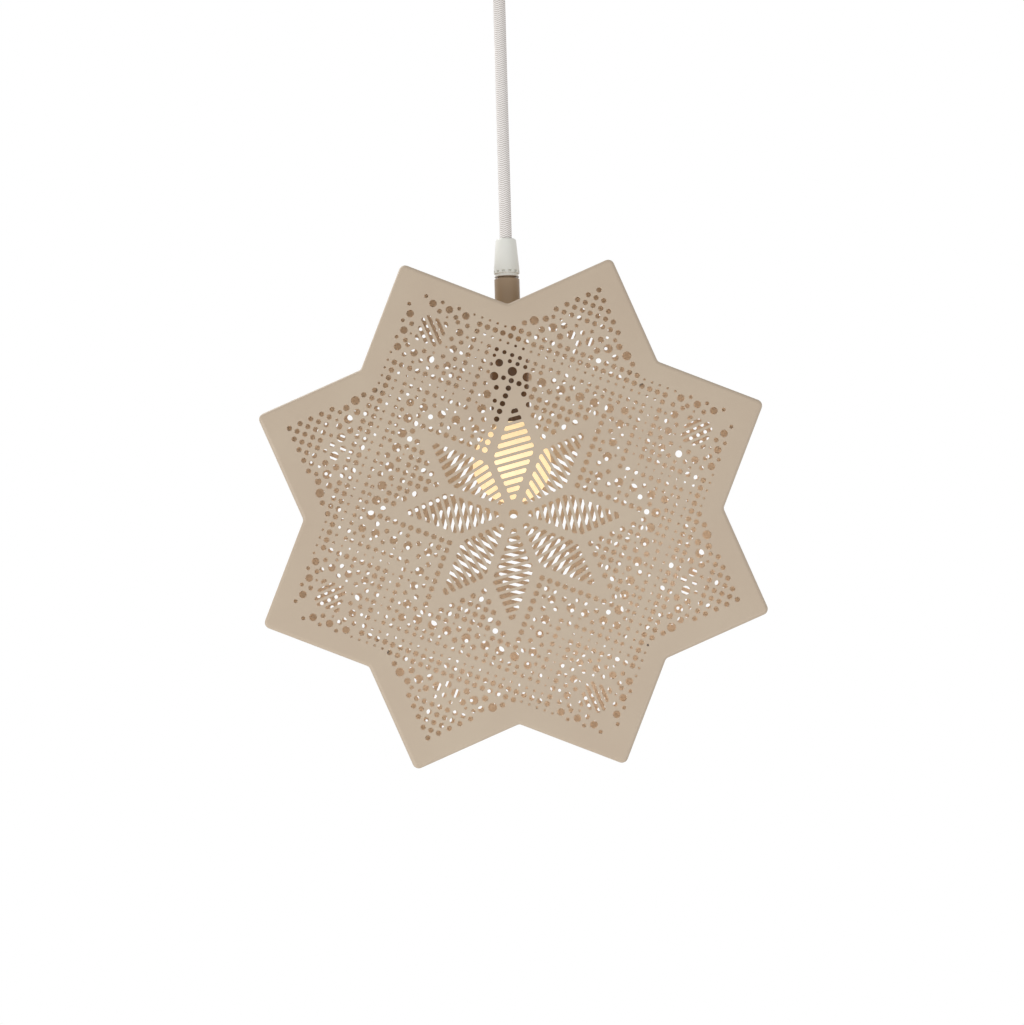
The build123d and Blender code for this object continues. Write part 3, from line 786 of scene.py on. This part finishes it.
# %% Drop tube
tube_low, tube_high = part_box("drop_tube")
tube_radius = (tube_high.x - tube_low.x) / 2
groove_low, groove_high = tube_high.z - 1.2 * mm, tube_high.z - 0.2 * mm
groove_radius = tube_radius - 2.0 * mm
tube_edge, tube_top_edge = 0.3 * mm, 0.2 * mm
tube_profile = [
    (nipple_hole, tube_low.z), (tube_radius - tube_edge, tube_low.z), (tube_radius, tube_low.z + tube_edge),
    (tube_radius, groove_low - tube_edge), (tube_radius - tube_edge, groove_low), (groove_radius, groove_low),
    (groove_radius, groove_high), (tube_radius - tube_top_edge, groove_high),
    (tube_radius - tube_top_edge, tube_high.z), (nipple_hole, tube_high.z)]
# The tube wears the star's taupe painted darker, as shade.
tube_mesh = turned_mesh("enamelled_tube", tube_profile, 96)
new_piece("enamelled_tube", tube_mesh, "lamp", shaded_tube_taupe, "drop_tube")

# %% [markdown]
# ## The flex
# The flex is a fixed length of something flexible, held straight by the weight of the lamp.
# A NURBS curve with a round section is the plainest honest form for it. Its top end tapers
# inside the ceiling grip, where the real one turns freely when the lamp swings.

# %% Flex
flex_radius = flex_diameter / 2
exit_z = flex_high.z - 0.25 * mm
pivot_z = flex_high.z - flex_radius
drop = pivot_z - flex_low.z
route = [(exit_z, 0.45), (exit_z - 0.8 * mm, 0.86), (pivot_z + 0.6 * mm, 1.0)]
route += [(pivot_z - drop * step / 8, 1.0) for step in range(9)]
flex_curve = bpy.data.curves.new("textile_flex", "CURVE")
flex_curve.dimensions = "3D"
flex_curve.bevel_depth = flex_radius
flex_curve.bevel_resolution = 8
flex_curve.use_fill_caps = True
spline = flex_curve.splines.new("NURBS")
spline.points.add(len(route) - 1)
for point, (height, share) in zip(spline.points, route):
    point.co = (0, 0, height, 1)
    point.radius = share
spline.order_u = 3
spline.use_endpoint_u = True
flex_curve.materials.append(cotton_braid)
flex = bpy.data.objects.new("textile_flex", flex_curve)
bpy.context.scene.collection.objects.link(flex)
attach(flex, "cord")
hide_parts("flex")

# %% [markdown]
# ## The bulb
# A 45 mm golf ball globe runs into a narrow neck through a soft curve. The screw cap is thin
# rolled metal: its thread is a rounded wave, drawn here as a true spiral by letting the
# wave's phase turn with the angle.

# %% Globe and cap
globe_low, globe_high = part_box("bulb_globe")
cap_low, cap_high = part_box("bulb_cap")
globe_radius = (globe_high.x - globe_low.x) / 2
globe_middle = globe_low.z + globe_radius
neck_radius = 8.5 * mm


def globe_profile():
    points = [(0, globe_low.z)]
    for step in range(1, 33):
        turn = radians(-90 + 142 * step / 32)
        points.append((globe_radius * cos(turn), globe_middle + globe_radius * sin(turn)))
    start, end = Vector(points[-1]), Vector((neck_radius, globe_high.z - 4 * mm))
    slope = Vector((-sin(radians(52)), cos(radians(52)))) * 9 * mm
    for step in range(1, 11):
        share = step / 10
        one, two = start + slope, end - Vector((0, 8 * mm))
        points.append(tuple(start * (1 - share) ** 3 + one * 3 * share * (1 - share) ** 2
                            + two * 3 * share ** 2 * (1 - share) + end * share ** 3))
    return points + [(neck_radius, globe_high.z), (0, globe_high.z)]


globe_mesh = turned_mesh("opal_globe", globe_profile(), 96)
opal_globe = new_piece("opal_globe", globe_mesh, "bulb", opal, "bulb_globe")

thread_pitch = 2.82 * mm
cap_radius = (cap_high.x - cap_low.x) / 2
thread_depth = 0.45 * mm


def rolled_thread(turn, height, radius):
    if not cap_low.z + 3 * mm < height < cap_high.z - 2 * mm:
        return 0
    return thread_depth * (cos(2 * pi * height / thread_pitch - turn) - 1) / 2


cap_steps = 60
cap_edge = 1 * mm
cap_profile = [(0, cap_low.z)]
cap_profile += [(cap_radius, cap_low.z + (cap_high.z - cap_edge - cap_low.z) * step / cap_steps)
                for step in range(cap_steps + 1)]
cap_profile += [(cap_radius - cap_edge, cap_high.z), (0, cap_high.z)]
cap_mesh = turned_mesh("threaded_cap", cap_profile, 64, rolled_thread)
new_piece("threaded_cap", cap_mesh, "bulb", nickel, "bulb_cap")

# %% [markdown]
# ## Screws
# Four small pan head screws hold the back cover and two larger ones hold the cup. All have a
# cross recess. One screw of each size is turned, its recess is cut once, and a tree sets a
# copy on each place, so a change to the screw reaches all of them.

# %% One screw
def cross_screw(name, head, head_height, shank, length):
    """A pan head screw along +Z, its head standing on z = 0."""
    profile = [(0, -length), (shank / 2 - 0.3 * mm, -length), (shank / 2, -length + 0.4 * mm), (shank / 2, 0),
               (head / 2, 0)]
    for step in range(9):
        turn = radians(90 * step / 8)
        profile.append((head / 2 * cos(turn) ** 0.6, head_height * (0.35 + 0.65 * sin(turn))))
    profile[-1] = (0, head_height)
    screw = bpy.data.objects.new(name, turned_mesh(name, profile, 40))
    cutter_mesh = bpy.data.meshes.new(name + "_cross")
    shape = bmesh.new()
    for turn in (0, radians(90)):
        bar = bmesh.ops.create_cube(shape, size=1)["verts"]
        bmesh.ops.scale(shape, verts=bar, vec=(head * 0.52, head * 0.11, head_height * 1.1))
        bmesh.ops.rotate(shape, verts=bar, cent=(0, 0, 0), matrix=Matrix.Rotation(turn, 3, "Z"))
        bmesh.ops.translate(shape, verts=bar, vec=(0, 0, head_height))
    shape.to_mesh(cutter_mesh)
    shape.free()
    cutter = bpy.data.objects.new(name + "_cross", cutter_mesh)
    for made in (screw, cutter):
        bpy.context.scene.collection.objects.link(made)
    recess = screw.modifiers.new("recess", "BOOLEAN")
    recess.operation = "DIFFERENCE"
    recess.object = cutter
    recess.use_self = True
    ready = screw.evaluated_get(bpy.context.evaluated_depsgraph_get())
    mesh = bpy.data.meshes.new_from_object(ready)
    for made in (screw, cutter):
        bpy.data.objects.remove(made)
    return mesh


# %% Tree that sets screws
def screw_tree():
    tree = bpy.data.node_groups.new("set_screws", "GeometryNodeTree")
    tree.interface.new_socket("Geometry", in_out="OUTPUT", socket_type="NodeSocketGeometry")
    socket(tree, "Geometry", "NodeSocketGeometry")
    socket(tree, "Screw", "NodeSocketObject")
    socket(tree, "Material", "NodeSocketMaterial")
    given = add(tree, "NodeGroupInput").outputs
    source = add(tree, "GeometryNodeObjectInfo", inputs={"Object": given["Screw"]})
    facing = add(tree, "GeometryNodeInputNamedAttribute", {"data_type": "FLOAT_VECTOR"}, {"Name": "facing"})
    aimed = add(tree, "FunctionNodeAlignRotationToVector", {"axis": "Z"},
                {"Vector": facing.outputs["Attribute"]})
    centres = add(tree, "GeometryNodeMeshToPoints", inputs={"Mesh": given["Geometry"]})
    set_screws = add(tree, "GeometryNodeInstanceOnPoints", inputs={
        "Points": centres.outputs["Points"], "Instance": source.outputs["Geometry"],
        "Rotation": aimed.outputs["Rotation"]})
    real = add(tree, "GeometryNodeRealizeInstances", inputs={"Geometry": set_screws.outputs["Instances"]})
    dressed = add(tree, "GeometryNodeSetMaterial", inputs={"Geometry": real.outputs["Geometry"],
                                                           "Material": given["Material"]})
    add(tree, "NodeGroupOutput", inputs={"Geometry": dressed.outputs["Geometry"]})
    return tree


def screw_set(name, places, directions, pattern, body, node):
    """Copies of one screw on places, each facing its own way, in place of a node."""
    mesh = bpy.data.meshes.new(name + "_places")
    mesh.from_pydata(places, [], [])
    flat = [value for direction in directions for value in direction]
    mesh.attributes.new("facing", "FLOAT_VECTOR", "POINT").data.foreach_set("vector", flat)
    source = bpy.data.objects.new(name + "_source", pattern)
    bpy.context.scene.collection.objects.link(source)
    made = grown(name, mesh, screw_setting, {"Screw": source, "Material": zinc})
    bpy.data.objects.remove(source)
    new_piece(name, made, body, zinc, node)


screw_setting = screw_tree()
screw_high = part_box("cover_screws")[1]
screw_inset = 8 * mm      # from the notch
screw_reach = (star_half / cos(radians(22.5))) - screw_inset
spots = [(screw_reach * cos(turn), back_y, star_z + screw_reach * sin(turn))
         for turn in (radians(45), radians(135), radians(225), radians(315))]
small_screw = cross_screw("cover_screw", 5.6 * mm, screw_high.y - back_y, 3.0 * mm, 6.0 * mm)
screw_set("cover_cross_screws", spots, [(0, 1, 0)] * 4, small_screw, "back_cover", "cover_screws")
cup_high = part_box("ceiling_cup")[1]
cup_screw_low, cup_screw_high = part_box("cup_screws")
cup_radius = cup_high.x
cup_screw_z = (cup_screw_low.z + cup_screw_high.z) / 2
large_screw = cross_screw("cup_screw", 7.6 * mm, cup_screw_high.x - cup_radius, 4.0 * mm, 6.0 * mm)
screw_set("cup_cross_screws", [(cup_radius, 0, cup_screw_z), (-cup_radius, 0, cup_screw_z)],
          [(1, 0, 0), (-1, 0, 0)], large_screw, "ceiling", "cup_screws")

# %% [markdown]
# ## Set and light
# The photograph has a pure white ground and soft light from all sides, a little stronger from
# below and from the left. The world gives most of it. Where the camera, a reflection or a
# see-through path meets the world, it is plain white.

# %% World
world = bpy.data.worlds.new("studio")
world.use_nodes = True
bpy.context.scene.world = world
tree = world.node_tree
tree.nodes.clear()
path = add(tree, "ShaderNodeLightPath")
seen = add(tree, "ShaderNodeMath", {"operation": "MAXIMUM"}, {0: path.outputs["Is Camera Ray"],
                                                              1: path.outputs["Is Transmission Ray"]})
seen = add(tree, "ShaderNodeMath", {"operation": "MAXIMUM"}, {0: seen.outputs["Value"],
                                                              1: path.outputs["Is Glossy Ray"]})
ambient = add(tree, "ShaderNodeBackground", inputs={"Color": (1.0, 1.0, 1.0, 1.0), "Strength": 0.60})
white = add(tree, "ShaderNodeBackground", inputs={"Color": (1.0, 1.0, 1.0, 1.0), "Strength": 1.0})
mixed = add(tree, "ShaderNodeMixShader", inputs={0: seen.outputs["Value"], 1: ambient.outputs["Background"],
                                                 2: white.outputs["Background"]})
add(tree, "ShaderNodeOutputWorld", inputs={"Surface": mixed.outputs["Shader"]})

# %% Lamps
def area_lamp(name, place, size, power):
    data = bpy.data.lights.new(name, "AREA")
    data.size = size
    data.energy = power
    lamp = bpy.data.objects.new(name, data)
    lamp.location = place
    lamp.rotation_euler = (Vector((0, 0, star_z)) - Vector(place)).to_track_quat("-Z", "Y").to_euler()
    bpy.context.scene.collection.objects.link(lamp)


area_lamp("key", (-1.6, -1.3, -0.85), 0.9, 15)
area_lamp("low_fill", (0.7, -1.4, -1.15), 1.2, 9)
area_lamp("edge_light", (-1.1, 0.7, 1.0), 0.9, 16)

# %% [markdown]
# The opal bulb is on, but weak against the daylight of the photograph. A small round lamp in
# its middle gives the light that it throws on the inside of the case, and its glass casts no
# shadow, since the light starts from it. Most of what lights the inside is daylight that comes
# in through a thousand holes and bounces about. A soft lamp in each point of the star stands
# for it, stronger at the lower right, and a wide one at the back. All of them move with the lamp.

# %% Light inside the case
def inside_lamp(name, kind, place, turn, colour, power, size, body):
    data = bpy.data.lights.new(name, kind)
    data.color = linear(colour)[:3]
    data.energy = power
    if kind == "AREA":
        data.shape = "DISK"
        data.size = size
    else:
        data.shadow_soft_size = size
    lamp = bpy.data.objects.new(name, data)
    lamp.location = place
    lamp.rotation_euler = turn
    lamp.visible_camera = False
    lamp.visible_glossy = False
    bpy.context.scene.collection.objects.link(lamp)
    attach(lamp, body)


opal_globe.visible_shadow = False
bulb_tint, daylight = "#FFE2BD", "#FFF1E4"
off_sheet = 3 * mm            # from a sheet's face to the lamps behind it
ring_radius = 106 * mm
dim_side = radians(120)       # direction of the least daylight, upper left
to_back, to_front = (radians(90), 0, 0), (radians(90), 0, pi)

place = (0, 0, globe_middle)
inside_lamp("bulb_light", "POINT", place, (0, 0, 0), bulb_tint, 0.004, globe_radius * 0.9, "bulb")
for point in range(8):
    around = radians(22.5 + 45 * point)
    power = 0.015 * (1 - 0.30 * cos(around - dim_side))
    place = (ring_radius * cos(around), front_y + off_sheet, star_z + ring_radius * sin(around))
    name = f"daylight_in_point_{point + 1}"
    inside_lamp(name, "AREA", place, to_back, daylight, power, 36 * mm, "lamp")
place = (0, back_y - off_sheet, star_z)
inside_lamp("daylight_behind", "AREA", place, to_front, daylight, 0.045, 210 * mm, "lamp")

# %% [markdown]
# A round sheet of pale paper lies far below, outside the picture, and keeps the lamp's shadow.
# The camera sees it nearly as white as the world about it.

# %% Floor
floor_level, floor_radius = -1.3, 1.4
floor_mesh = bpy.data.meshes.new("floor")
shape = bmesh.new()
bmesh.ops.create_circle(shape, cap_ends=True, segments=64, radius=floor_radius)
bmesh.ops.translate(shape, verts=shape.verts, vec=(0, 0, floor_level))
shape.to_mesh(floor_mesh)
shape.free()
floor = bpy.data.objects.new("floor", floor_mesh)
bpy.context.scene.collection.objects.link(floor)
paper, tree, shader = new_material("pale_studio_floor", "#F4F4F4", 0.9)
path = add(tree, "ShaderNodeLightPath")
lift = add(tree, "ShaderNodeMath", {"operation": "MULTIPLY"}, {0: path.outputs["Is Camera Ray"], 1: 0.55})
glow = add(tree, "ShaderNodeEmission", inputs={"Color": (1.0, 1.0, 1.0, 1.0), "Strength": 1.0})
blend = add(tree, "ShaderNodeMixShader", inputs={0: lift.outputs["Value"], 1: shader.outputs["BSDF"],
                                                 2: glow.outputs["Emission"]})
tree.links.new(blend.outputs["Shader"], tree.nodes["Material Output"].inputs["Surface"])
floor_mesh.materials.append(paper)
floor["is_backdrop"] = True
bpy.context.scene.view_settings.view_transform = "Standard"

# %% [markdown]
# ## Check the size and finish
# The dressed lamp has to fill the same box as the engineering model.

# %% Finish
visual_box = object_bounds()
growth = [round((visual_box[1][i] - visual_box[0][i] - cad_box[1][i] + cad_box[0][i]) / mm, 2)
          for i in range(3)]
print("the dressed lamp is larger than the model by", growth, "mm")
